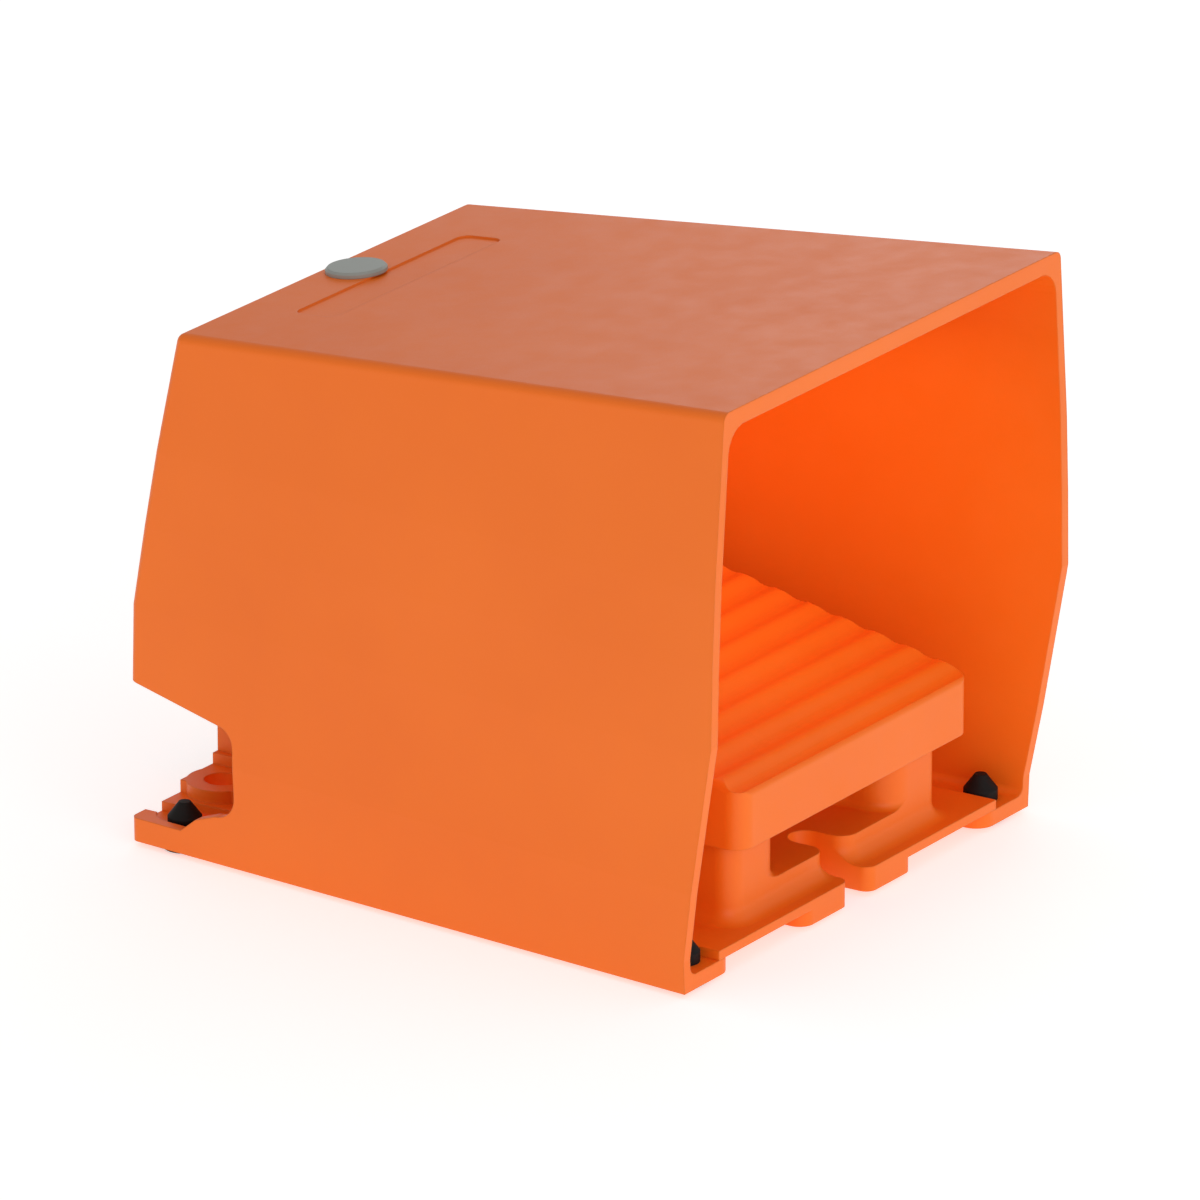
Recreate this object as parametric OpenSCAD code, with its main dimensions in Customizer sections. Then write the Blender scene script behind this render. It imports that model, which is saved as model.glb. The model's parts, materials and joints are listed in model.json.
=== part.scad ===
// Industrial foot switch: one ribbed pedal under a guard hood. The base tray
// carries the pedal hinge, the return springs, a sealed contact block and the
// cable entry; the hood's bottom flanges lie under the tray's floor plate.
//
// +X is to the right, +Y runs from the foot opening to the cable side, +Z is up.
// The modules are drawn with y = 0 at the middle of the base and z = 0 at the
// underside of its screw bosses. place() then moves them so that the origin is
// the bottom centre of the whole switch, level with the soles of its feet.

/* [Base tray] */
// Length of the base behind the pedal
rear_space = 21.8; // [20:0.1:24]
// Thickness of the floor plate
plate_t = 2.5; // [2:0.1:3.5]
// Gap between the floor plate's sides and the hood
plate_gap = 0.5; // [0.3:0.1:1]
// Width of the pedal housing
housing_w = 96; // [92:1:98]
// Distance from the base's front edge back to the housing's front wall
housing_setback = 6.8; // [6:0.1:8]
// Distance from the housing's rear wall to the base's rear edge
entry_l = 27.7; // [26:0.1:29]
// Thickness of the housing walls
housing_t = 3; // [2:0.1:3.5]
// Radius of the housing's upright corners
housing_r = 5; // [4:0.5:8]
// Radius of the cove between the housing and the floor plate
cove_r = 4; // [2:0.5:5]
// Width of the screw alcove in the housing's front wall
alcove_w = 50; // [46:1:56]
// Depth of the screw alcove
alcove_d = 20; // [17:0.5:22]
// Radius of the alcove's rounded jambs and inner corners
alcove_r = 8; // [6:0.5:8]
// Height of the alcove's floor, on which the front screw's head rests
sill_h = 13.2; // [11:0.1:14]
// Radius of the floor's corners on both sides of the slot
sill_r = 4.5; // [3:0.5:5]
// Radius of the cove round the alcove's floor
alcove_cove_r = 2; // [1:0.5:3]

/* [Mounting] */
// Width of the front slot and of the rear screw holes
screw_d = 9.4; // [8.5:0.1:9.8]
// Length of the front slot, edge of the base to the slot's round end
slot_l = 20.5; // [19:0.1:21]
// Radius of the slot's mouth
slot_mouth_r = 3; // [2:0.5:5]
// Width of the boss round the front slot
slot_boss_w = 51; // [44:1:60]
// Spacing of the rear screw holes
rear_hole_pitch = 76.2; // [74:0.1:78]
// Distance from the base's rear edge to the rear screw holes
rear_hole_inset = 8.7; // [8:0.1:9.5]
// Outside diameter of the bosses round the rear screw holes
rear_boss_d = 18.6; // [17:0.1:19]
// Height of those bosses
rear_boss_h = 9.8; // [9:0.1:12]

/* [Guard hood] */
// Outside width at the bottom of the front edge
hood_w = 160; // [156:1:168]
// Outside width at the bottom of the rear edge
hood_w_rear = 131.4; // [129:0.2:136]
// Height of the roof's front edge
hood_h = 150.3; // [144:0.1:160]
// Height of the roof's rear edge
hood_h_rear = 136.3; // [130:0.1:140]
// How far the front edge leans out in front of the base
hood_nose = 9.3; // [4:0.1:12]
// Height of the bend in the front edge
bend_h = 66; // [60:1:75]
// Height of the upright foot of the front edge
toe_h = 8.5; // [7:0.5:12]
// How far the roof's rear edge lies in front of the base's rear edge
roof_set = 14; // [12:0.5:18]
// Height of the bend in the rear wall
rear_bend_h = 63.6; // [58:0.2:70]
// How far the rear wall's bend lies in front of the base's rear edge
rear_lean = 1.8; // [1:0.1:3]
// Height of the rear wall's lower edge
rear_edge_h = 43.6; // [43:0.1:48]
// Bulge of each side wall
side_crown = 1.9; // [0.5:0.1:3]
// Height at which the sides bulge most
crown_h = 55; // [50:1:65]
// Thickness of the side and rear walls
wall_t = 3; // [2.5:0.1:4]
// Thickness of the roof
roof_t = 4.5; // [3.5:0.1:5]
// Radius of the outer edges
hood_edge_r = 2.4; // [2:0.1:5]
// Radius of the inner corners
hood_inner_r = 7; // [5:0.5:9]
// Thickness of the bottom flanges, on which the floor plate lies
flange_t = 4; // [3.5:0.1:4.5]
// Radius of the cove between flange and side wall
flange_cove_r = 2.8; // [1:0.1:3]
// Width of the front flanges, from the hood's outside
front_flange_w = 22.3; // [21:0.1:24]
// Width of the rear flanges, from the hood's outside
rear_flange_w = 15.2; // [14:0.1:17]
// Distance from the base's rear edge to the front of the side notch
notch_l = 34; // [30:0.5:38]
// Height of the side notch's lower edge
notch_h = 12.8; // [11:0.1:15]
// Height of the low strip behind the side notch
strip_h = 6.4; // [5.5:0.1:8]
// Slope of the side notch's upper edge, in degrees
notch_slope = 12; // [8:1:16]
// Width of the bare label recess
label_w = 76; // [60:1:84]
// Length of the label recess
label_l = 12.5; // [10:0.5:16]
// Depth of the label recess
label_d = 0.5; // [0.4:0.1:1.2]
// Distance from the roof's rear edge to the label recess
label_set = 17.2; // [15.5:0.1:20]

/* [Plug and feet] */
// Diameter of the roof plug's head
plug_d = 15.8; // [13:0.2:18]
// Height of the roof plug's head
plug_h = 1.5; // [1.2:0.1:2.5]
// Diameter of the roof plug's shank
plug_shank_d = 10; // [8:0.5:11]
// Distance from the roof's rear edge to the middle of the plug
plug_set = 10.5; // [9.2:0.1:11]
// Diameter of a foot's sole
foot_d = 12; // [10:0.5:13]
// How far the soles stand below the base
foot_drop = 1.5; // [1:0.1:2.5]
// Diameter of a foot's barbed head
foot_head_d = 8.8; // [8:0.1:9.4]
// Diameter of a foot's neck in the flange
foot_neck_d = 6.4; // [5.5:0.1:7]
// Height of a foot's head above the flange
foot_head_h = 6.6; // [5:0.1:8]
// Distance from the hood's outside to the front feet
front_foot_edge = 11; // [10:0.1:12]
// Distance from the base's front edge to the front feet
front_foot_inset = 7.6; // [7:0.1:9]
// Distance from the hood's outside to the rear feet
rear_foot_edge = 7.4; // [7:0.1:9]
// Distance from the base's rear edge to the rear feet
rear_foot_inset = 11.2; // [11:0.1:12]

/* [Pedal] */
// Width of the pedal
pedal_w = 106; // [104:0.5:112]
// Distance from the base's front edge back to the pedal's front
pedal_inset = 0.7; // [0:0.1:1]
// Length of the pedal
pedal_l = 152.5; // [151:0.5:155]
// Height of the pedal's lower rim
pedal_rim_h = 28.4; // [26:0.2:32]
// Height of the rib crests at the pedal's front
pedal_front_h = 44.5; // [43:0.5:48]
// Slope of the tread, in degrees
pedal_slope = 11.2; // [10:0.2:12]
// Wall thickness of the pedal
pedal_t = 3; // [2.4:0.1:3.4]
// Radius of the pedal's upright corners
pedal_r = 5; // [4:0.5:8]
// Radius along the tread's sides and front
tread_r = 2.5; // [1.5:0.5:4]
// Spacing of the tread's ribs
rib_pitch = 10; // [8:0.25:12]
// Height of the tread's ribs
rib_h = 1.5; // [1:0.1:2.4]
// Distance from the pedal's front to the first rib's crest
rib_start = 7.7; // [5:0.1:9]
// Distance from the base's rear edge to the pedal hinge
hinge_inset = 37.5; // [37:0.5:39]
// Height of the pedal hinge
hinge_h = 38; // [36:0.5:39]
// Swing of the pedal from rest to its stop, in degrees
pedal_travel = 6; // [4:0.5:6]
// Diameter of the hinge axle
axle_d = 8; // [6:0.5:9]

/* [Springs and stops] */
// Mean diameter of a return spring
spring_d = 12.4; // [11.5:0.2:14]
// Wire diameter of a return spring
spring_wire = 1.5; // [1:0.1:1.8]
// Turns of a return spring
spring_turns = 7; // [5:1:9]
// Distance from the middle to a return spring
spring_x = 30; // [27:0.5:33]
// Distance from the base's front edge to the return springs
spring_inset = 52; // [49:0.5:56]
// Height of the springs' upper seat
spring_top_h = 45; // [42:0.5:46]
// Diameter of a stop buffer
buffer_d = 9; // [7:0.5:10]
// Distance from the middle to a stop buffer
buffer_x = 38; // [36.5:0.5:39]
// Distance from the base's front edge to the stop buffers
buffer_inset = 22; // [20:0.5:26]

/* [Contact block] */
// Width of the contact block
block_w = 36; // [34:0.5:40]
// Length of the contact block
block_l = 44; // [42:0.5:48]
// Height of the contact block's case
case_h = 20; // [19:0.5:22]
// Wall and floor thickness of the case
case_t = 2.5; // [2:0.1:3]
// Thickness of the cover
cover_t = 6; // [4:0.5:7]
// Height of the plunger guide above the cover
guide_h = 6.5; // [5:0.5:8]
// Thickness of the gasket
gasket_t = 1; // [0.6:0.1:1.5]
// Diameter of the plunger
plunger_d = 8; // [6:0.5:9]
// How far the plunger stands above its guide at rest
plunger_h = 8; // [7:0.5:10]
// Distance from the hinge forward to the plunger
plunger_arm = 42; // [40:0.5:44]

/* [Cable entry] */
// Width of the cable-entry block
entry_w = 55.6; // [50:0.2:57]
// Height of the cable-entry block
entry_h = 42; // [41:0.5:43]
// Width of the plinth under the entry block
plinth_w = 60; // [58:0.5:62]
// Height of that plinth
plinth_h = 12.7; // [11:0.1:14]
// Height of the cable gland's axis
gland_z = 25; // [24:0.5:27]
// Thread diameter of the gland
gland_d = 20; // [16:0.5:22]
// Size across flats of the gland's hexagons
gland_af = 24; // [23:0.5:26]
// Length of the gland's domed nut
gland_nut_l = 13; // [11:0.5:16]
// Hole through the gland's seal
cable_d = 9; // [6:0.5:10]

/* [Hidden] */
$fn = 48;

// Colours
orange = [0.94, 0.45, 0.15];
black = [0.07, 0.06, 0.06];
grey = [0.58, 0.62, 0.60];
steel = [0.75, 0.76, 0.78];
brass = [0.80, 0.62, 0.25];
nylon = [0.86, 0.85, 0.80];
dark = [0.20, 0.21, 0.22];

// Clearances
rest_gap = 0.3;      // between parts that meet in use
slip = 0.1;          // radial, loose holes and slots
running = 0.06;      // radial, turning and sliding fits
push = 0.02;         // radial, pieces pushed home
press_gap = 1;       // pedal to housing at the end of the travel

// Base
base_l = pedal_inset + pedal_l + rear_space;
housing_l = base_l - housing_setback - entry_l;
far = 2*base_l;      // longer than anything it cuts
front_y = -base_l/2;
rear_y = base_l/2;
plate_z = flange_t;
floor_z = plate_z + plate_t;
housing_front = front_y + housing_setback;
housing_rear = housing_front + housing_l;
slot_r = screw_d/2;
slot_end = front_y + slot_l - slot_r;
jamb_x = alcove_w/2 + alcove_r;
alcove_rear = housing_front + alcove_d;
screw_post_r = slot_r + 4;
rear_hole_x = rear_hole_pitch/2;
rear_hole_y = rear_y - rear_hole_inset;

// Hood
side_taper = (hood_w - hood_w_rear)/2/base_l;
nose_y = front_y - hood_nose;
roof_rear_y = rear_y - roof_set;
roof_slope = (hood_h - hood_h_rear)/(roof_rear_y - nose_y);
roof_angle = atan(roof_slope);
label_y = roof_rear_y - label_set - label_l/2;
plug_y = roof_rear_y - plug_set;
notch_y = rear_y - notch_l;
front_flange_x = hood_w/2 - front_flange_w;
rear_flange_x = hood_w_rear/2 - rear_flange_w;
front_foot = [hood_w/2 - front_foot_edge, front_y + front_foot_inset];
rear_foot = [hood_w_rear/2 - rear_foot_edge, rear_y - rear_foot_inset];
hood_tail = 0.5;
guard_screw_ys = [-base_l*0.22, base_l*0.22];
guard_screw_r = 2;
guard_screw_l = 11.5;

// Pedal
pedal_front = front_y + pedal_inset;
hinge_y = rear_y - hinge_inset;
axle_r = axle_d/2;
tread_drop = rib_h + pedal_t;
pedal_in_w = pedal_w - 2*pedal_t;
side_play = (pedal_in_w - housing_w)/2;
plunger_y = hinge_y - plunger_arm;
plunger_travel = plunger_arm*pedal_travel*PI/180;
spring_y = front_y + spring_inset;
buffer_y = front_y + buffer_inset;
buffer_h = 8;
clip_t = 1;
groove_r = axle_r - 0.8;

// Contact block
case_top = floor_z + case_h;
cover_z = case_top + gasket_t;
cover_top = cover_z + cover_t;
guide_top = cover_top + guide_h;
plunger_top = guide_top + plunger_h;
plunger_r = plunger_d/2;
cover_screw_x = block_w/2 - 4;
cover_screw_y = block_l/2 - 4;
ear_l = 9;
ear_t = 4;
block_screw_y = block_l/2 + ear_l/2;
stem_r = 2;
tip_h = 0.8;
tip_x = block_w/2 - 8;
collar_h = 2.6;
collar_z = cover_z - rest_gap - collar_h;
bridge_t = 1.5;
bridge_w = 6.5;
bridge_end = 3;
bridge_z = collar_z - 6;
strip_t = 1.2;
strip_z = bridge_z - 2*tip_h - plunger_travel - rest_gap - strip_t;
strip_w = 8;
terminal_x = block_w/2 + 4.5;

// Cable gland
hex_r = gland_af/2/cos(30);
gland_hex_t = 5;
gland_r = gland_d/2;
gland_bore_r = gland_r - 2;
gland_end = rear_y + gland_hex_t + rest_gap + gland_nut_l;
gland_lip_t = 3.5;

// The whole switch runs from the hood's nose to the gland's nut.
middle_y = (nose_y + gland_end)/2;

module place() {
    translate([0, -middle_y, foot_drop]) children();
}

// ---- Shared shapes ----

// Points on an arc about c, from angle a0 to angle a1
function arc_points(c, r, a0, a1, steps = 8) =
    [for (i = [0:steps]) let (a = a0 + (a1 - a0)*i/steps) c + r*[cos(a), sin(a)]];

// Outer half width of the hood at a given length and height
function side_x(y, z) =
    hood_w/2 - side_taper*(y - front_y) + side_crown*(1 - pow(z/crown_h - 1, 2));

// Height of the roof's outer face
function roof_z(y) = hood_h - roof_slope*(y - nose_y);

// Outer face of the rear wall
function rear_wall_y(z) = z < rear_bend_h
    ? rear_y + hood_tail - (hood_tail + rear_lean)*z/rear_bend_h
    : rear_y - rear_lean - (roof_set - rear_lean)*(z - rear_bend_h)/(hood_h_rear - rear_bend_h);

// Height of the pedal's ceiling, at rest and with the pedal down
function ceiling_z(y) =
    pedal_front_h - tread_drop/cos(pedal_slope) + tan(pedal_slope)*(y - pedal_front);
function pressed_ceiling_z(y) =
    hinge_h + (y - hinge_y)*sin(pedal_travel) + (ceiling_z(y) - hinge_h)*cos(pedal_travel);

// Upright prism of a rectangle with round corners
module round_rect(x0, x1, y0, y1, r) {
    translate([x0 + r, y0]) square([x1 - x0 - 2*r, y1 - y0]);
    translate([x0, y0 + r]) square([x1 - x0, y1 - y0 - 2*r]);
    for (x = [x0 + r, x1 - r], y = [y0 + r, y1 - r]) translate([x, y]) circle(r);
}

// Pocket that opens towards -Y at y0, with rounded jambs and round inner corners
module open_pocket(half_w, y0, depth, corner_r, mouth_r) {
    reach = 20;
    translate([-half_w, y0 - reach]) square([2*half_w, depth + reach - corner_r]);
    if (half_w > corner_r)
        translate([-half_w + corner_r, y0]) square([2*(half_w - corner_r), depth]);
    for (side = [-1, 1]) {
        translate([side*(half_w - corner_r), y0 + depth - corner_r]) circle(corner_r);
        difference() {
            translate([side*(half_w + mouth_r/2), y0 + mouth_r/2]) square(mouth_r, center = true);
            translate([side*(half_w + mouth_r), y0 + mouth_r]) circle(mouth_r);
        }
    }
}

// Extrusion along X of a shape drawn in the YZ plane
module across(half_w) {
    rotate([90, 0, 90]) translate([0, 0, -half_w]) linear_extrude(2*half_w) children();
}

// Cylinder along X
module cross_pin(r, x0, x1) {
    translate([x0, 0, 0]) rotate([0, 90, 0]) cylinder(r = r, h = x1 - x0);
}

// Cylinder along Y
module long_pin(r, y0, y1, sides = 48) {
    translate([0, y0, 0]) rotate([-90, 0, 0]) cylinder(r = r, h = y1 - y0, $fn = sides);
}

module at_hinge() {
    translate([0, hinge_y, hinge_h]) children();
}

module both_sides() {
    children();
    mirror([1, 0, 0]) children();
}

module each_corner_foot() {
    for (side = [-1, 1], foot = [front_foot, rear_foot])
        translate([side*foot[0], foot[1], 0]) children();
}

module each_guard_screw() {
    for (side = [-1, 1], y = guard_screw_ys)
        translate([side*(side_x(y, 0) - wall_t - 8), y, 0]) children();
}

module each_rear_hole() {
    for (side = [-1, 1]) translate([side*rear_hole_x, rear_hole_y, 0]) children();
}

// Everything above the pedal's ceiling at rest, less a gap
module above_ceiling(gap = 0) {
    translate([0, pedal_front, ceiling_z(pedal_front) - gap])
        rotate([pedal_slope, 0, 0])
        translate([-far/2, -far/4, 0]) cube(far);
}

module pressed() {
    at_hinge() rotate([pedal_travel, 0, 0]) translate([0, -hinge_y, -hinge_h]) children();
}

// Coil spring that stands on z = 0, with closed ends
function spring_point(t, turns, r, wire, h) =
    [r*cos(360*turns*t), r*sin(360*turns*t), wire/2 + (h - wire)*(t - sin(360*t)/(2*PI)*0.55)];

module coil_spring(turns, d, wire, h) {
    steps = 12*turns;
    sides = 6;
    ring = [for (i = [0:steps]) let (t = i/steps, a = 360*turns*t, c = spring_point(t, turns, d/2, wire, h))
        [for (k = [0:sides - 1]) let (b = 360*k/sides)
            c + wire/2*[cos(b)*cos(a), cos(b)*sin(a), sin(b)]]];
    points = [for (section = ring) for (p = section) p];
    skin = [for (i = [0:steps - 1], k = [0:sides - 1]) let (n = (k + 1)%sides)
        [i*sides + k, i*sides + n, (i + 1)*sides + n, (i + 1)*sides + k]];
    caps = [[for (k = [sides - 1:-1:0]) k], [for (k = [0:sides - 1]) steps*sides + k]];
    polyhedron(points, concat(skin, caps), convexity = 10);
}

// ---- Guard hood ----

// Closed form of the hood, drawn in by the given amounts and open-ended in front
module hood_form(side_in, roof_in, rear_in, r) {
    below = -20;
    ahead = nose_y - 30;
    levels = [below, crown_h*0.5, rear_bend_h, 85, 105];
    top_rear = rear_wall_y(hood_h_rear) - rear_in - r;
    hull()
        for (side = [-1, 1]) {
            for (z = levels, y = [ahead, rear_wall_y(z) - rear_in - r])
                translate([side*(side_x(y, z) - side_in - r), y, z]) sphere(r, $fn = 24);
            for (y = [ahead, top_rear]) {
                z = roof_z(y) - roof_in - r;
                translate([side*(side_x(y, z) - side_in - r), y, z]) sphere(r, $fn = 24);
            }
        }
}

// Side view of the hood: everything the front and rear edges leave standing
module hood_side_view() {
    across(120) polygon([
        [front_y, 0], [front_y, toe_h], [nose_y, bend_h], [nose_y, hood_h + 20],
        [rear_y + 30, hood_h + 20], [rear_y + 30, 0]
    ]);
}

module hood_shape() {
    intersection() {
        hood_form(0, 0, 0, hood_edge_r);
        hood_side_view();
    }
}

// Side notch for the cable, seen from the side
module side_notch() {
    top_r = 5;
    low_r = 6.5;
    top_start = rear_edge_h - tan(notch_slope)*(rear_y - rear_lean - notch_y);
    past = rear_y + 8;
    across(120) polygon(concat(
        [[past, rear_edge_h + tan(notch_slope)*(past - rear_y + rear_lean)]],
        arc_points([notch_y + top_r, top_start - top_r + 1], top_r, 90 + notch_slope, 180),
        arc_points([notch_y + low_r, notch_h + low_r], low_r, 180, 270),
        [[notch_y + 13, notch_h - 2.4], [notch_y + 18, strip_h], [past, strip_h]]
    ));
}

module flange_plan() {
    corner_r = 5;
    step_y = front_y + base_l*0.62;
    both_sides() {
        polygon(concat(
            arc_points([front_flange_x + corner_r, front_y + corner_r], corner_r, 180, 270),
            [[100, front_y], [100, step_y], [front_flange_x, step_y]]
        ));
        polygon([[rear_flange_x, step_y], [100, step_y], [100, rear_y], [rear_flange_x, rear_y]]);
    }
}

// Cove along the side walls, on the flanges
module flange_cove() {
    turn = atan(side_taper);
    both_sides() translate([side_x(rear_y, flange_t) - wall_t, rear_y, flange_t])
        rotate([0, 0, turn]) rotate([90, 0, 0])
        linear_extrude(base_l/cos(turn)) mirror([1, 0]) cove_section(flange_cove_r);
}

module on_roof(y) {
    translate([0, y, roof_z(y)]) rotate([-roof_angle, 0, 0]) children();
}

module guard_hood() {
    open_w = hood_w_rear - 2*wall_t - 7;
    color(orange) difference() {
        union() {
            difference() {
                hood_shape();
                hood_form(wall_t, roof_t, wall_t, hood_inner_r);
                translate([-open_w/2, notch_y, -1]) cube([open_w, base_l, rear_edge_h + 1]);
            }
            intersection() {
                hood_shape();
                union() {
                    linear_extrude(flange_t) flange_plan();
                    flange_cove();
                }
            }
        }
        side_notch();
        on_roof(label_y) translate([0, 0, -label_d])
            linear_extrude(10) round_rect(-label_w/2, label_w/2, -label_l/2, label_l/2, 3);
        on_roof(plug_y) {
            cylinder(r = plug_shank_d/2 + slip, h = 40, center = true);
            translate([0, 0, -roof_t - 10]) cylinder(r = plug_shank_d/2 + 1.6, h = 10);
        }
        each_corner_foot() {
            cylinder(r = foot_neck_d/2 + slip, h = 3*flange_t, center = true);
            translate([0, 0, flange_t]) cylinder(r = foot_head_d/2 + rest_gap, h = foot_head_h);
        }
        each_guard_screw() {
            cylinder(r = guard_screw_r + slip, h = 3*flange_t, center = true);
            translate([0, 0, -1]) cylinder(r = 2*guard_screw_r + slip, h = 1.3);
            translate([0, 0, 0.3]) cylinder(r1 = 2*guard_screw_r + slip, r2 = guard_screw_r + slip, h = 2);
        }
    }
}

// ---- Base tray ----

module plate_plan() {
    side_gap = wall_t + flange_cove_r + plate_gap;
    front_cut_x = front_foot[0] - foot_head_d/2 - 0.4;
    front_cut_y = front_foot[1] + 22;
    rear_cut_x = rear_hole_x + rear_boss_d/2 + 1.5;
    rear_cut_y = rear_foot[1] - foot_d/2 - 4.5;
    rear_tab_y = rear_foot[1] + foot_head_d/2 + 1.7;
    rear_tab_x = rear_cut_x + 3.6;
    half = [
        [front_cut_x, front_y], [front_cut_x, front_cut_y],
        [side_x(front_cut_y, floor_z) - side_gap, front_cut_y],
        [side_x(rear_cut_y, floor_z) - side_gap, rear_cut_y],
        [rear_cut_x, rear_cut_y], [rear_cut_x, rear_tab_y],
        [rear_tab_x, rear_tab_y], [rear_tab_x, rear_y]
    ];
    polygon(concat(half, [for (i = [len(half) - 1:-1:0]) [-half[i][0], half[i][1]]]));
}

// Outline of the housing, drawn in by t
module housing_plan(t) {
    difference() {
        round_rect(-housing_w/2 + t, housing_w/2 - t, housing_front + t, housing_rear - t,
            housing_r - t);
        open_pocket(alcove_w/2 + t, housing_front + t, alcove_d, alcove_r + t, alcove_r - t);
    }
}

// Floor of the alcove, drawn in by t from its front and sides
module alcove_plan(t) {
    intersection() {
        translate([-housing_w, housing_front + t]) square([2*housing_w, alcove_d + housing_t - 2*t]);
        union() {
            open_pocket(alcove_w/2 - t, housing_front, alcove_d - t, alcove_r, alcove_r + t);
            translate([-alcove_w/2 + t, housing_front + t])
                square([alcove_w - 2*t, alcove_d + housing_t - 2*t]);
        }
    }
}

// Cove along a floor, seen from its end, with the wall's face at x = 0
module cove_section(r) {
    difference() {
        translate([-1, -1]) square(r + 1);
        translate([r, r]) circle(r);
    }
}

// Cove round an upright corner of radius r, on the corner's outside
module cove_corner(c, r, turn, z = floor_z, cove = cove_r) {
    translate([c[0], c[1], z]) rotate([0, 0, turn])
        rotate_extrude(angle = 90) translate([r, 0]) cove_section(cove);
}

// The same inside a hollow corner
module hollow_corner(c, r, turn, z, cove) {
    translate([c[0], c[1], z]) rotate([0, 0, turn])
        rotate_extrude(angle = 90) translate([r, 0]) mirror([1, 0]) cove_section(cove);
}

module cove_run(start, turn, run, z = floor_z, cove = cove_r) {
    translate([start[0], start[1], z]) rotate([0, 0, turn]) rotate([90, 0, 0])
        linear_extrude(run) cove_section(cove);
}

module housing_cove() {
    corner = [housing_w/2 - housing_r, housing_front + housing_r];
    side_l = housing_l - 2*housing_r;
    sill_x = slot_r + sill_r;
    for (side = [-1, 1]) {
        cove_corner([side*corner[0], corner[1]], housing_r, side > 0 ? -90 : 180);
        cove_corner([side*sill_x, housing_front + sill_r], sill_r, side > 0 ? 180 : -90);
    }
    cove_run([corner[0], housing_front], -90, corner[0] - sill_x);
    cove_run([-sill_x, housing_front], -90, corner[0] - sill_x);
    cove_run([housing_w/2, corner[1] + side_l], 0, side_l);
    cove_run([-housing_w/2, corner[1]], 180, side_l);
}

// Cove round the alcove's floor, up its jambs, sides and back
module alcove_cove() {
    c = alcove_cove_r;
    inner = [alcove_w/2 - alcove_r, alcove_rear - alcove_r];
    jamb_y = housing_front + alcove_r;
    intersection() {
        translate([-housing_w, housing_front, sill_h - 1]) cube([2*housing_w, alcove_d + 1, c + 1]);
        union() {
            for (side = [-1, 1]) {
                cove_corner([side*jamb_x, jamb_y], alcove_r, side > 0 ? 180 : -90, sill_h, c);
                hollow_corner([side*inner[0], inner[1]], alcove_r, side > 0 ? 0 : 90, sill_h, c);
            }
            cove_run([-alcove_w/2, inner[1]], 0, inner[1] - jamb_y, sill_h, c);
            cove_run([alcove_w/2, jamb_y], 180, inner[1] - jamb_y, sill_h, c);
            cove_run([inner[0], alcove_rear], -90, 2*inner[0], sill_h, c);
        }
    }
}

// Hollow under the alcove's floor, with a post left round the slot
module alcove_hollow() {
    rib_t = 2;
    difference() {
        translate([0, 0, -1]) linear_extrude(sill_h - housing_t + 1) difference() {
            alcove_plan(housing_t);
            translate([-screw_post_r, front_y]) square([2*screw_post_r, slot_end - front_y]);
            translate([0, slot_end]) circle(screw_post_r);
        }
        for (x = [-alcove_w/3, alcove_w/3]) translate([x - rib_t/2, front_y, 0]) cube([rib_t, far, sill_h]);
    }
}

module housing_walls() {
    hinge_rise = 16;
    difference() {
        translate([0, 0, plate_z]) linear_extrude(far) difference() {
            housing_plan(0);
            housing_plan(housing_t);
        }
        above_ceiling(press_gap);
        pressed() above_ceiling(press_gap);
        translate([-housing_w, housing_rear - 2*housing_t, hinge_h + hinge_rise])
            cube([2*housing_w, far, far]);
    }
}

module entry_block() {
    half_w = entry_w/2;
    half_plinth = plinth_w/2;
    start = housing_rear - housing_t;
    translate([-half_w, start, 0]) cube([entry_w, rear_y - start, entry_h]);
    translate([-half_plinth, start, 0]) cube([plinth_w, rear_y - start, plinth_h]);
}

module rear_bosses() {
    edge_x = rear_hole_x + rear_boss_d/2 - 3.1;
    linear_extrude(rear_boss_h) both_sides() {
        translate([rear_hole_x, rear_hole_y]) circle(rear_boss_d/2);
        translate([plinth_w/2 - 1, rear_hole_y - rear_boss_d/2])
            square([edge_x - plinth_w/2 + 1, rear_boss_d/2 + rear_hole_inset]);
    }
}

module floor_ribs() {
    rib_t = 1.8;
    rib_z = 0.8;
    run_l = rear_y - alcove_rear - 14;
    for (y = [alcove_rear, -base_l*0.1, base_l*0.1, base_l*0.3])
        translate([-housing_w/2, y - rib_t/2, rib_z]) cube([housing_w, rib_t, flange_t]);
    for (x = [-housing_w/4, 0, housing_w/4])
        translate([x - rib_t/2, alcove_rear, rib_z]) cube([rib_t, run_l, flange_t]);
}

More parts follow.
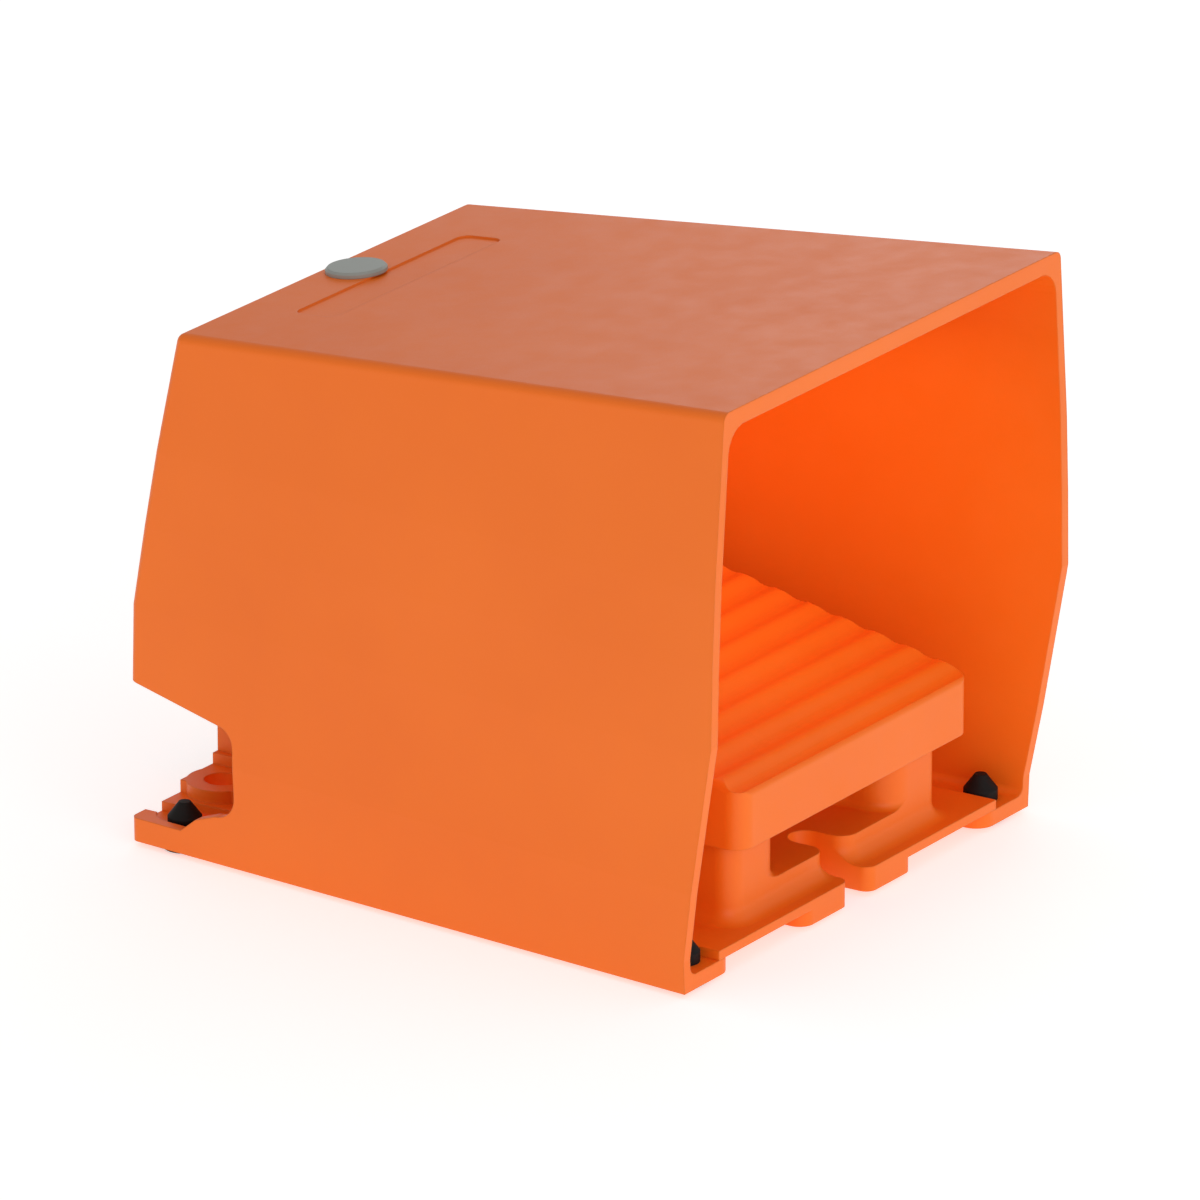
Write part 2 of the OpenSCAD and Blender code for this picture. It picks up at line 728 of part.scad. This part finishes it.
module base_tray() {
    buffer_post_top = pressed_ceiling_z(buffer_y) - buffer_h;
    cavity_w = entry_w - 2*housing_t;
    color(orange) difference() {
        union() {
            translate([0, 0, plate_z]) linear_extrude(plate_t) plate_plan();
            linear_extrude(floor_z)
                round_rect(-slot_boss_w/2, slot_boss_w/2, front_y, alcove_rear + housing_t, 4);
            housing_walls();
            difference() {
                translate([0, 0, plate_z]) linear_extrude(sill_h - plate_z) alcove_plan(0);
                translate([0, 0, floor_z]) linear_extrude(far)
                    open_pocket(slot_r, housing_front, slot_r, slot_r, sill_r);
            }
            housing_cove();
            alcove_cove();
            difference() {
                entry_block();
                translate([-cavity_w/2, housing_rear - 2*housing_t, floor_z])
                    cube([cavity_w, rear_y - housing_rear + housing_t, entry_h - housing_t - floor_z]);
            }
            rear_bosses();
            floor_ribs();
            each_guard_screw() translate([0, 0, plate_z])
                cylinder(r = 4.4, h = guard_screw_l - plate_z + 1.5);
            for (side = [-1, 1]) {
                translate([side*spring_x, spring_y, plate_z])
                    cylinder(r = (spring_d - spring_wire)/2 - 0.7, h = plate_t + 5);
                translate([side*buffer_x, buffer_y, plate_z])
                    cylinder(r = buffer_d/2 + 0.5, h = buffer_post_top - plate_z);
                translate([0, plunger_y + side*block_screw_y, 0.5]) cylinder(r = 4.4, h = floor_z - 0.5);
            }
        }
        linear_extrude(3*sill_h, center = true)
            open_pocket(slot_r, front_y, slot_l, slot_r, slot_mouth_r);
        alcove_hollow();
        each_rear_hole() cylinder(r = screw_d/2, h = 3*rear_boss_h, center = true);
        translate([-cavity_w/2, housing_rear - 2*housing_t, floor_z])
            cube([cavity_w, 2*housing_t + 1, entry_h - housing_t - floor_z]);
        translate([0, 0, gland_z]) long_pin(gland_r + slip, rear_y - 2*housing_t, rear_y + 1);
        at_hinge() cross_pin(axle_r + 2 + push, -housing_w, housing_w);
        each_guard_screw() cylinder(r = guard_screw_r + push, h = guard_screw_l + 0.5);
        for (side = [-1, 1]) {
            translate([side*buffer_x, buffer_y, buffer_post_top - 7]) cylinder(r = 2 + push, h = 8);
            translate([0, plunger_y + side*block_screw_y, 1]) cylinder(r = 2 + push, h = floor_z);
        }
    }
}

// ---- Pedal ----

// Side view of the pedal's outside, with the ribs as rounded waves
function rib_wave(s) = rib_h*pow(0.5 + 0.5*cos(360*(s - rib_start)/rib_pitch), 1.3);

module pedal_side_view() {
    steps = 12;
    count = ceil(pedal_l/rib_pitch + 3)*steps;
    translate([pedal_front, pedal_front_h - rib_h]) rotate(pedal_slope) {
        polygon(concat(
            [[-rib_pitch, -far]],
            [for (i = [0:count]) let (s = (i/steps - 1)*rib_pitch) [s, rib_wave(s)]],
            [[(count/steps - 1)*rib_pitch, -far]]
        ));
    }
}

// Tread with rounded long edges, and rounded front edge
module tread_form() {
    translate([0, pedal_front, pedal_front_h]) rotate([pedal_slope, 0, 0])
        rotate([-90, 0, 0]) translate([0, 0, -far/4])
        linear_extrude(far) round_rect(-pedal_w/2, pedal_w/2, 0, far, tread_r);
}

module pedal_plan(t) {
    round_rect(-pedal_w/2 + t, pedal_w/2 - t, pedal_front + t, pedal_front + pedal_l - t, pedal_r - t*0.8);
}

module pedal_front_edge() {
    edge_r = 1.6;
    edge_z = pedal_front_h - rib_h + rib_wave(0);
    across(pedal_w) difference() {
        translate([pedal_front - 1, edge_z - edge_r]) square([edge_r + 1, edge_r + 4]);
        translate([pedal_front + edge_r, edge_z - edge_r]) circle(edge_r);
    }
}

module pedal() {
    rear_skirt = pedal_front + pedal_l;
    nose_r = 3;
    seat_r = spring_d/2 + spring_wire/2 + 0.8;
    color(orange) difference() {
        union() {
            difference() {
                intersection() {
                    translate([0, 0, pedal_rim_h]) linear_extrude(120) pedal_plan(0);
                    across(pedal_w) pedal_side_view();
                    tread_form();
                }
                pedal_front_edge();
                difference() {
                    translate([0, 0, pedal_rim_h - 1]) linear_extrude(120) pedal_plan(pedal_t);
                    above_ceiling();
                }
            }
            intersection() {
                union() {
                    for (side = [-1, 1]) translate([side*spring_x, spring_y, spring_top_h]) {
                        cylinder(r = seat_r, h = 30);
                        translate([0, 0, -4]) cylinder(r = (spring_d - spring_wire)/2 - 0.7, h = 5);
                    }
                    translate([0, plunger_y, plunger_top + rest_gap + nose_r]) {
                        cross_pin(nose_r, -6, 6);
                        translate([-6, -nose_r, 0]) cube([12, 2*nose_r, 40]);
                    }
                    for (side = [-1, 1]) translate([side*14, plunger_y, plunger_top + 5])
                        translate([-1, -30, 0]) cube([2, 60, 40]);
                }
                difference() {
                    translate([-pedal_w/2 + 1, pedal_front, 0]) cube([pedal_w - 2, pedal_l, far]);
                    above_ceiling(-1);
                }
            }
        }
        translate([-plinth_w/2 - 1, rear_skirt - 2*pedal_t, 0])
            cube([plinth_w + 2, 3*pedal_t, entry_h + rest_gap]);
        at_hinge() cross_pin(axle_r + push, -pedal_w, pedal_w);
    }
}

module pedal_axle() {
    end_x = pedal_w/2 + clip_t + 1.2;
    groove_x = pedal_w/2 + 0.1;
    color(steel) at_hinge() difference() {
        cross_pin(axle_r, -end_x, end_x);
        both_sides() difference() {
            cross_pin(axle_r + 1, groove_x, groove_x + clip_t + slip);
            cross_pin(groove_r, groove_x - 1, groove_x + clip_t + 1);
        }
    }
}

module axle_bushes() {
    color(nylon) at_hinge() both_sides() difference() {
        union() {
            cross_pin(axle_r + 2, housing_w/2 - housing_t, housing_w/2);
            cross_pin(axle_r + 4, housing_w/2, housing_w/2 + side_play - rest_gap);
        }
        cross_pin(axle_r + running, 0, housing_w);
    }
}

module axle_clips() {
    clip_x = pedal_w/2 + 0.1 + slip/2;
    color(steel) at_hinge() both_sides() difference() {
        cross_pin(axle_r + 2.6, clip_x, clip_x + clip_t);
        cross_pin(groove_r + push, clip_x - 1, clip_x + 2*clip_t);
        translate([clip_x - 1, -groove_r*0.8, -2*axle_r]) cube([3*clip_t, groove_r*1.6, 2*axle_r]);
    }
}

module return_springs() {
    color(steel) for (side = [-1, 1]) translate([side*spring_x, spring_y, floor_z])
        coil_spring(spring_turns, spring_d, spring_wire, spring_top_h - floor_z);
}

module stop_buffers() {
    buffer_post_top = pressed_ceiling_z(buffer_y) - buffer_h;
    chamfer = 1.5;
    lean = tan(pedal_slope + pedal_travel)*(buffer_d/2 - chamfer);
    side_h = buffer_h - rest_gap - lean - chamfer;
    color(black) for (side = [-1, 1]) translate([side*buffer_x, buffer_y, buffer_post_top]) {
        translate([0, 0, -6]) cylinder(r = 2, h = 7);
        cylinder(r = buffer_d/2, h = side_h);
        translate([0, 0, side_h]) cylinder(r1 = buffer_d/2, r2 = buffer_d/2 - chamfer, h = chamfer);
    }
}

// ---- Feet and plug ----

module rubber_feet() {
    head_r = foot_head_d/2;
    barrel_h = foot_head_h*0.42;
    color(black) each_corner_foot() {
        translate([0, 0, -foot_drop]) cylinder(r1 = foot_d/2 - 0.5, r2 = foot_d/2, h = foot_drop);
        translate([0, 0, -0.5]) cylinder(r = foot_neck_d/2, h = flange_t + 1);
        translate([0, 0, flange_t]) cylinder(r = head_r, h = barrel_h);
        translate([0, 0, flange_t + barrel_h])
            cylinder(r1 = head_r, r2 = head_r*0.35, h = foot_head_h - barrel_h);
    }
}

module top_plug() {
    edge_r = 0.6;
    color(grey) on_roof(plug_y) translate([0, 0, push]) {
        cylinder(r = plug_d/2, h = plug_h - edge_r);
        translate([0, 0, plug_h - edge_r]) cylinder(r1 = plug_d/2, r2 = plug_d/2 - edge_r, h = edge_r);
        translate([0, 0, -roof_t - 0.3]) cylinder(r = plug_shank_d/2, h = roof_t + 1);
        translate([0, 0, -roof_t - 2.3])
            cylinder(r1 = plug_shank_d/2 - 0.8, r2 = plug_shank_d/2 + 0.8, h = 2);
    }
}

module guard_screws() {
    color(steel) each_guard_screw() difference() {
        union() {
            translate([0, 0, 0.3]) cylinder(r1 = 2*guard_screw_r, r2 = guard_screw_r, h = 2);
            translate([0, 0, 1]) cylinder(r = guard_screw_r, h = guard_screw_l - 1);
        }
        translate([-2.4, -0.5, 0]) cube([4.8, 1, 1]);
        translate([-0.5, -2.4, 0]) cube([1, 4.8, 1]);
    }
}

// ---- Contact block ----

module at_block() {
    translate([0, plunger_y, 0]) children();
}

module each_cover_screw() {
    for (x = [-cover_screw_x, cover_screw_x], y = [-cover_screw_y, cover_screw_y])
        translate([x, y, 0]) children();
}

// Box about the block's axis
module block_box(w, l, z0, z1) {
    translate([-w/2, -l/2, z0]) cube([w, l, z1 - z0]);
}

module block_case() {
    in_w = block_w - 2*case_t;
    in_l = block_l - 2*case_t;
    color(dark) at_block() difference() {
        union() {
            difference() {
                block_box(block_w, block_l, floor_z, case_top);
                block_box(in_w, in_l, floor_z + case_t, case_top + 1);
            }
            each_cover_screw() translate([0, 0, floor_z + case_t - 0.5])
                cylinder(r = 2.8, h = case_h - case_t + 0.5);
            block_box(14, block_l + 2*ear_l, floor_z, floor_z + ear_t);
            block_box(2*terminal_x + 7, strip_w + 3, floor_z, strip_z);
        }
        block_box(in_w, in_l - 14, floor_z + case_t, case_top + 1);
        block_box(2*block_w, strip_w + 2*slip, strip_z, strip_z + strip_t + slip);
        each_cover_screw() translate([0, 0, floor_z + case_t + 2]) cylinder(r = 1.25 + push, h = case_h);
        for (side = [-1, 1]) {
            translate([0, side*block_screw_y, 0]) cylinder(r = 2 + slip, h = case_h);
            translate([side*terminal_x, 0, floor_z - 1]) cylinder(r = 1.5 + push, h = case_h);
        }
    }
}

module block_gasket() {
    color(black) at_block() difference() {
        block_box(block_w, block_l, case_top, cover_z);
        block_box(block_w - 2*case_t, block_l - 2*case_t - 12, case_top - 1, cover_z + 1);
        each_cover_screw() translate([0, 0, case_top - 1]) cylinder(r = 1.25 + 2*slip, h = gasket_t + 2);
    }
}

module block_cover() {
    color(dark) at_block() difference() {
        union() {
            block_box(block_w, block_l, cover_z, cover_top);
            translate([0, 0, cover_z]) cylinder(r = plunger_r + 3, h = guide_top - cover_z);
        }
        translate([0, 0, cover_z - 1]) cylinder(r = plunger_r + running, h = guide_top);
        each_cover_screw() translate([0, 0, cover_z - 1]) cylinder(r = 1.25 + slip, h = cover_t + 2);
    }
}

module cover_screws() {
    color(steel) at_block() each_cover_screw() difference() {
        union() {
            translate([0, 0, cover_top]) cylinder(r = 2.6, h = 1.8);
            translate([0, 0, floor_z + case_t + 3])
                cylinder(r = 1.25, h = cover_top - floor_z - case_t - 2);
        }
        translate([-2, -0.35, cover_top + 0.9]) cube([4, 0.7, 2]);
    }
}

module block_screws() {
    color(steel) at_block() for (side = [-1, 1]) translate([0, side*block_screw_y, 0]) difference() {
        union() {
            translate([0, 0, floor_z + ear_t]) cylinder(r = ear_l/2 - 0.7, h = 2.6);
            translate([0, 0, 1.5]) cylinder(r = 2, h = floor_z + ear_t);
        }
        translate([-3, -0.5, floor_z + ear_t + 1.3]) cube([6, 1, 2]);
    }
}

module plunger() {
    tip_r = 1;
    color(nylon) at_block() {
        translate([0, 0, collar_z]) cylinder(r = plunger_r, h = plunger_top - collar_z - tip_r);
        translate([0, 0, plunger_top - tip_r]) cylinder(r1 = plunger_r, r2 = plunger_r - tip_r, h = tip_r);
        translate([0, 0, collar_z]) cylinder(r = plunger_r + 1.6, h = collar_h);
        translate([0, 0, bridge_z - 2]) cylinder(r = stem_r, h = collar_z - bridge_z + 3);
        translate([0, 0, bridge_z + bridge_t]) cylinder(r = stem_r + 1, h = collar_z - bridge_z - bridge_t);
    }
}

module plunger_seal() {
    color(black) at_block() translate([0, 0, guide_top]) difference() {
        cylinder(r = plunger_r + 2.6, h = 1.6);
        translate([0, 0, -1]) cylinder(r = plunger_r + slip, h = 4);
    }
}

module contact_bridge() {
    color(brass) at_block() difference() {
        union() {
            block_box(2*(tip_x + bridge_end), bridge_w, bridge_z, bridge_z + bridge_t);
            for (x = [-tip_x, tip_x]) translate([x, 0, bridge_z - tip_h]) cylinder(r = 2, h = tip_h + 0.2);
        }
        translate([0, 0, bridge_z - 1]) cylinder(r = stem_r + push, h = bridge_t + 2);
    }
}

module bridge_spring() {
    spring_z = floor_z + case_t;
    color(steel) at_block() translate([0, 0, spring_z])
        coil_spring(4, 7.6, 0.7, bridge_z - spring_z);
}

module fixed_contacts() {
    inner_x = tip_x - bridge_end;
    color(brass) at_block() both_sides() difference() {
        union() {
            translate([inner_x, -strip_w/2, strip_z]) cube([terminal_x + 3 - inner_x, strip_w, strip_t]);
            translate([tip_x, 0, strip_z + strip_t - 0.2]) cylinder(r = 2, h = tip_h + 0.2);
        }
        translate([terminal_x, 0, strip_z - 1]) cylinder(r = 1.5 + slip, h = 4);
    }
}

module terminal_screws() {
    color(steel) at_block() for (side = [-1, 1]) translate([side*terminal_x, 0, 0]) difference() {
        union() {
            translate([0, 0, strip_z + strip_t]) cylinder(r = 2.8, h = 1.8);
            translate([0, 0, floor_z + 0.5]) cylinder(r = 1.5, h = strip_z + strip_t - floor_z);
        }
        translate([-3, -0.4, strip_z + strip_t + 0.9]) cube([6, 0.8, 2]);
    }
}

// ---- Cable gland ----

module at_gland() {
    translate([0, 0, gland_z]) children();
}

module gland_body() {
    collar_end = rear_y + gland_hex_t + gland_nut_l - gland_lip_t - 1.5;
    seat_y = rear_y + gland_hex_t - 2;
    color(grey) at_gland() difference() {
        union() {
            long_pin(gland_r, rear_y - housing_t - 7, rear_y + 1);
            long_pin(hex_r, rear_y, rear_y + gland_hex_t, 6);
            long_pin(gland_r - 0.5, rear_y + gland_hex_t - 1, collar_end);
        }
        long_pin(gland_bore_r - 1, rear_y - 30, rear_y + 40);
        long_pin(gland_bore_r, seat_y, rear_y + 40);
    }
}

module gland_locknut() {
    color(grey) at_gland() difference() {
        long_pin(hex_r, rear_y - housing_t - 4, rear_y - housing_t, 6);
        long_pin(gland_r + push, rear_y - 20, rear_y);
    }
}

module gland_seal() {
    seat_y = rear_y + gland_hex_t - 2;
    color(black) at_gland() difference() {
        long_pin(gland_bore_r - push, seat_y, gland_end - gland_lip_t);
        long_pin(cable_d/2, seat_y - 1, gland_end);
    }
}

module gland_nut() {
    start = rear_y + gland_hex_t + rest_gap;
    hex_l = gland_nut_l - 4;
    dome_r = hex_r*0.8;
    color(grey) at_gland() difference() {
        union() {
            long_pin(hex_r - 0.4, start, start + hex_l, 6);
            translate([0, start + hex_l, 0]) rotate([-90, 0, 0])
                cylinder(r1 = dome_r, r2 = dome_r - 2.5, h = gland_nut_l - hex_l);
        }
        long_pin(gland_r - 0.5 + push, start - 1, gland_end - gland_lip_t);
        long_pin(cable_d/2 + 1.5, start, gland_end + 1);
    }
}

place() guard_hood();
place() base_tray();
place() pedal();
place() rubber_feet();
place() top_plug();
place() pedal_axle();
place() axle_bushes();
place() axle_clips();
place() return_springs();
place() stop_buffers();
place() block_case();
place() block_cover();
place() block_gasket();
place() cover_screws();
place() block_screws();
place() plunger();
place() plunger_seal();
place() contact_bridge();
place() bridge_spring();
place() fixed_contacts();
place() terminal_screws();
place() guard_screws();
place() gland_body();
place() gland_locknut();
place() gland_seal();
place() gland_nut();
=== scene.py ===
import json
import bpy
from mathutils import Vector, Matrix


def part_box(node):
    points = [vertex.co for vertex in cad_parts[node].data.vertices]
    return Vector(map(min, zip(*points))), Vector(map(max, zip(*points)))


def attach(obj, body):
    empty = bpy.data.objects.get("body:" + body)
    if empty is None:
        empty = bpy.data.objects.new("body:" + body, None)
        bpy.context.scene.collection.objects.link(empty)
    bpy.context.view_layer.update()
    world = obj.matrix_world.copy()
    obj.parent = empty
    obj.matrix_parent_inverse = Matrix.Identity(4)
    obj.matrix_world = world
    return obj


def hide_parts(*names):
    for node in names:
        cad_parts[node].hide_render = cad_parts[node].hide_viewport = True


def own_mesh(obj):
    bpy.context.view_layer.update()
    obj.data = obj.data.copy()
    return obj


# Industrial foot switch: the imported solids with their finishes, a floor, soft light and a camera.
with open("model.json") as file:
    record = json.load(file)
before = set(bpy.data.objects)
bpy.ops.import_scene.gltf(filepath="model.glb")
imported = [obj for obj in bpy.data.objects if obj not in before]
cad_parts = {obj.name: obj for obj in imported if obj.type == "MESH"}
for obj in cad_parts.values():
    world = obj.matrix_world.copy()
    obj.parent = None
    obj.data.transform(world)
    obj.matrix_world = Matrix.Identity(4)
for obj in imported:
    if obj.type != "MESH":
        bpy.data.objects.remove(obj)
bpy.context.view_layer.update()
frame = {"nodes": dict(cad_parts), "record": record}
scene = bpy.context.scene
scene.view_settings.view_transform = "Standard"

MM = 0.001


# ---- Camera ----

def add_camera():
    cam = bpy.data.objects.new("camera", bpy.data.cameras.new("camera"))
    scene.collection.objects.link(cam)
    scene.camera = cam
    cam.data.lens = 402.3
    cam.data.sensor_width = 36
    cam.data.clip_start, cam.data.clip_end = 0.1, 100
    place = Vector((-2.63930, -1.75651, 1.17709))
    forward = Vector((0.78738, 0.51963, -0.33169))
    right = Vector((0.55081, -0.83463, 0))
    up = right.cross(forward).normalized()
    turn = Matrix((right, up, -forward)).transposed().to_4x4()
    cam.matrix_world = Matrix.Translation(place) @ turn


# ---- Materials ----

class Nodes:
    """A material's node tree, with a Principled shader to wire things into."""

    def __init__(self, name):
        self.material = bpy.data.materials.new(name)
        self.material.use_nodes = True
        self.tree = self.material.node_tree
        self.shader = self.tree.nodes["Principled BSDF"]
        self.place = self.add("ShaderNodeTexCoord").outputs["Object"]

    def add(self, kind, **values):
        node = self.tree.nodes.new(kind)
        for key, value in values.items():
            setattr(node, key, value)
        return node

    def link(self, source, target):
        self.tree.links.new(source, target)

    def noise(self, size_mm, detail=2.0, rough=0.5, stretch=None):
        """Noise whose features are about size_mm across."""
        node = self.add("ShaderNodeTexNoise")
        node.inputs["Scale"].default_value = 1 / (size_mm * MM)
        node.inputs["Detail"].default_value = detail
        node.inputs["Roughness"].default_value = rough
        place = self.place
        if stretch:
            mapping = self.add("ShaderNodeMapping")
            mapping.inputs["Scale"].default_value = stretch
            self.link(place, mapping.inputs["Vector"])
            place = mapping.outputs["Vector"]
        self.link(place, node.inputs["Vector"])
        return node.outputs["Fac"]

    def spread(self, value, low, high, start=0.3, stop=0.7):
        """value from start to stop becomes low to high."""
        node = self.add("ShaderNodeMapRange")
        for key, number in (("From Min", start), ("From Max", stop), ("To Min", low), ("To Max", high)):
            node.inputs[key].default_value = number
        self.link(value, node.inputs["Value"])
        return node.outputs["Result"]

    def times(self, a, b):
        node = self.add("ShaderNodeMath", operation="MULTIPLY")
        self.link(a, node.inputs[0])
        self.link(b, node.inputs[1])
        return node.outputs[0]

    def mix(self, factor, a, b):
        """Colour between a and b; either may be a fixed colour or a socket."""
        node = self.add("ShaderNodeMix", data_type="RGBA")
        self.link(factor, node.inputs["Factor"])
        for key, value in ((6, a), (7, b)):
            if isinstance(value, tuple):
                node.inputs[key].default_value = (*value, 1)
            else:
                self.link(value, node.inputs[key])
        return node.outputs[2]

    def bump(self, height, strength, depth_mm, under=None):
        node = self.add("ShaderNodeBump")
        node.inputs["Strength"].default_value = strength
        node.inputs["Distance"].default_value = depth_mm * MM
        self.link(height, node.inputs["Height"])
        if under is not None:
            self.link(under, node.inputs["Normal"])
        return node.outputs["Normal"]

    def soft_edges(self, radius_mm):
        node = self.add("ShaderNodeBevel", samples=4)
        node.inputs["Radius"].default_value = radius_mm * MM
        return node.outputs["Normal"]

    def edge_mask(self, soft, start=0.985, stop=0.80):
        """1 on sharp edges, 0 on flat faces."""
        dot = self.add("ShaderNodeVectorMath", operation="DOT_PRODUCT")
        self.link(soft, dot.inputs[0])
        self.link(self.add("ShaderNodeNewGeometry").outputs["Normal"], dot.inputs[1])
        return self.spread(dot.outputs["Value"], 0, 1, start, stop)

    def finish(self, colour=None, roughness=None, normal=None, **fixed):
        for key, value in (("Base Color", colour), ("Roughness", roughness), ("Normal", normal)):
            if value is not None:
                self.link(value, self.shader.inputs[key])
        for key, value in fixed.items():
            self.shader.inputs[key.replace("_", " ")].default_value = value
        return self.material


def orange_plastic():
    """Moulded plastic: satin, with a fine grain, slow changes of colour and a painted highlight that makes
    sharp edges paler.
    """
    n = Nodes("orange_plastic")
    flow = n.noise(70, 3, 0.55)
    cloud = n.noise(9, 3, 0.6)
    grain = n.noise(0.34, 2, 0.6)
    soft = n.soft_edges(0.5)
    base = n.mix(n.spread(flow, 0, 1), (0.920, 0.166, 0.0065), (0.960, 0.182, 0.0090))
    base = n.mix(n.spread(cloud, 0, 0.10), base, (0.965, 0.21, 0.016))
    # Painted highlight: sharp edges are mixed towards a paler orange, standing in for light caught along the
    # rims.
    base = n.mix(n.spread(n.edge_mask(soft), 0, 0.35, 0, 1), base, (0.97, 0.25, 0.025))
    rough = n.times(n.spread(grain, 0.93, 1.07), n.spread(cloud, 0.40, 0.48))
    wave = n.bump(n.noise(26, 2), 0.06, 0.03, soft)
    skin = n.bump(grain, 0.10, 0.03, wave)
    return n.finish(base, rough, skin, Specular_IOR_Level=0.32)


def black_rubber():
    n = Nodes("black_rubber")
    grain = n.noise(0.5, 3, 0.6)
    dust = n.noise(5, 4, 0.65)
    colour = n.mix(n.spread(dust, 0, 1, 0.45, 0.75), (0.0055, 0.0048, 0.0043), (0.012, 0.0105, 0.0095))
    rough = n.spread(dust, 0.52, 0.72)
    return n.finish(colour, rough, n.bump(grain, 0.25, 0.05, n.soft_edges(0.5)), Specular_IOR_Level=0.22)


def plain_plastic(name, dark, light, rough=(0.38, 0.5), grain_mm=0.4, specular=0.45):
    n = Nodes(name)
    grain = n.noise(grain_mm, 2, 0.6)
    flow = n.noise(11, 3, 0.6)
    colour = n.mix(n.spread(flow, 0, 1), dark, light)
    normal = n.bump(grain, 0.15, 0.03, n.soft_edges(0.35))
    return n.finish(colour, n.spread(flow, *rough), normal, Specular_IOR_Level=specular)


def zinc_steel():
    """Zinc plating: pale bluish steel with a mottled, faintly yellow passivation."""
    n = Nodes("zinc_steel")
    mottle = n.noise(2.2, 4, 0.65)
    lines = n.noise(0.18, 2, 0.5, (1, 14, 1))
    colour = n.mix(n.spread(mottle, 0, 1), (0.56, 0.57, 0.60), (0.68, 0.66, 0.60))
    rough = n.times(n.spread(lines, 0.9, 1.1), n.spread(mottle, 0.26, 0.42))
    return n.finish(colour, rough, n.bump(lines, 0.12, 0.01, n.soft_edges(0.2)), Metallic=1.0)


def spring_steel():
    """Drawn wire: drawing lines, oil-darkened in patches."""
    n = Nodes("spring_steel")
    patch = n.noise(3.5, 4, 0.6)
    lines = n.noise(0.15, 2, 0.5, (1, 1, 9))
    colour = n.mix(n.spread(patch, 0, 1), (0.30, 0.30, 0.31), (0.50, 0.50, 0.51))
    rough = n.times(n.spread(lines, 0.85, 1.15), n.spread(patch, 0.24, 0.38))
    return n.finish(colour, rough, n.bump(lines, 0.2, 0.01), Metallic=1.0)


def brass():
    n = Nodes("brass")
    tarnish = n.noise(3, 4, 0.65)
    lines = n.noise(0.2, 2, 0.5, (12, 1, 1))
    colour = n.mix(n.spread(tarnish, 0, 1), (0.50, 0.31, 0.10), (0.80, 0.58, 0.24))
    rough = n.times(n.spread(lines, 0.9, 1.1), n.spread(tarnish, 0.22, 0.40))
    return n.finish(colour, rough, n.bump(lines, 0.15, 0.01, n.soft_edges(0.2)), Metallic=1.0)


def floor_paper():
    n = Nodes("floor_paper")
    fibre = n.noise(1.5, 3, 0.6)
    colour = n.mix(n.spread(fibre, 0, 1), (0.80, 0.80, 0.80), (0.82, 0.82, 0.82))
    rough = n.spread(fibre, 0.75, 0.85)
    return n.finish(colour, rough, n.bump(fibre, 0.05, 0.05),
                    Emission_Color=(1, 1, 1, 1), Emission_Strength=0.54, Specular_IOR_Level=0.1)


FINISHES = {
    "orange_plastic": orange_plastic,
    "black_rubber": black_rubber,
    "grey_plastic": lambda: plain_plastic("grey_plastic", (0.315, 0.335, 0.305), (0.355, 0.375, 0.345)),
    "gland_plastic": lambda: plain_plastic("gland_plastic", (0.024, 0.024, 0.026), (0.040, 0.040, 0.043)),
    "zinc_steel": zinc_steel,
    "spring_steel": spring_steel,
    "white_nylon": lambda: plain_plastic("white_nylon", (0.70, 0.67, 0.58), (0.82, 0.80, 0.73), (0.32, 0.45)),
    "dark_plastic": lambda: plain_plastic("dark_plastic", (0.034, 0.035, 0.038), (0.062, 0.064, 0.068)),
    "brass": brass,
}


def dress_nodes():
    made = {}
    for part in frame["record"]["subparts"]:
        slot = part["material_slot"]
        if slot not in made:
            made[slot] = FINISHES[slot]()
        piece = frame["nodes"][part["node"]]
        for place in piece.material_slots:
            place.material = made[slot]
        if not piece.material_slots:
            piece.data.materials.append(made[slot])


# ---- Springs ----

def squeezed_spring(node):
    """A coil copied from the CAD spring's mesh that stands in for it, carried by the base body."""
    cad = frame["nodes"][node]
    coil = bpy.data.objects.new(node + "_coil", cad.data.copy())
    scene.collection.objects.link(coil)
    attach(coil, "base")
    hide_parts(node)
    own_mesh(coil)


# ---- Floor and light ----

def add_floor():
    mesh = bpy.data.meshes.new("floor")
    reach = 3
    corners = [(-reach, -reach, 0), (reach, -reach, 0), (reach, reach, 0), (-reach, reach, 0)]
    mesh.from_pydata(corners, [], [(0, 1, 2, 3)])
    floor = bpy.data.objects.new("floor", mesh)
    floor.data.materials.append(floor_paper())
    scene.collection.objects.link(floor)


def add_world(strength):
    world = bpy.data.worlds.new("studio")
    scene.world = world
    world.use_nodes = True
    background = world.node_tree.nodes["Background"]
    background.inputs["Color"].default_value = (1, 1, 1, 1)
    background.inputs["Strength"].default_value = strength


def add_softbox(name, place, target, size, watts, seen=True):
    light = bpy.data.lights.new(name, "AREA")
    light.shape = "RECTANGLE"
    light.size, light.size_y = size
    light.energy = watts
    lamp = bpy.data.objects.new(name, light)
    scene.collection.objects.link(lamp)
    lamp.visible_camera = seen
    lamp.visible_glossy = seen
    lamp.location = place
    lamp.rotation_euler = (Vector(target) - lamp.location).to_track_quat("-Z", "Y").to_euler()


add_camera()
dress_nodes()
squeezed_spring("return_springs")
squeezed_spring("bridge_spring")
add_floor()
add_world(0.55)
middle = (0, 0, 0.06)
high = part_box("guard_hood")[1]
add_softbox("key", (-0.98, -1.28, 0.55), middle, (1.1, 0.8), 5.0)
add_softbox("front_fill", (0.10, -1.50, 0.12), (0, 0, 0.03), (1.0, 0.20), 1.5)
add_softbox("back_glow", (1.42, 0.58, 0.67), (0.02, -0.02, 0.14), (0.7, 0.5), 2)
# A weak light under the roof lifts the inside as bounce cards do; it isn't seen itself.
under_roof = high[2] - 22 * MM
add_softbox("hood_fill", (0, -0.025, under_roof), (0, -0.025, 0), (0.11, 0.13), 0.036, seen=False)
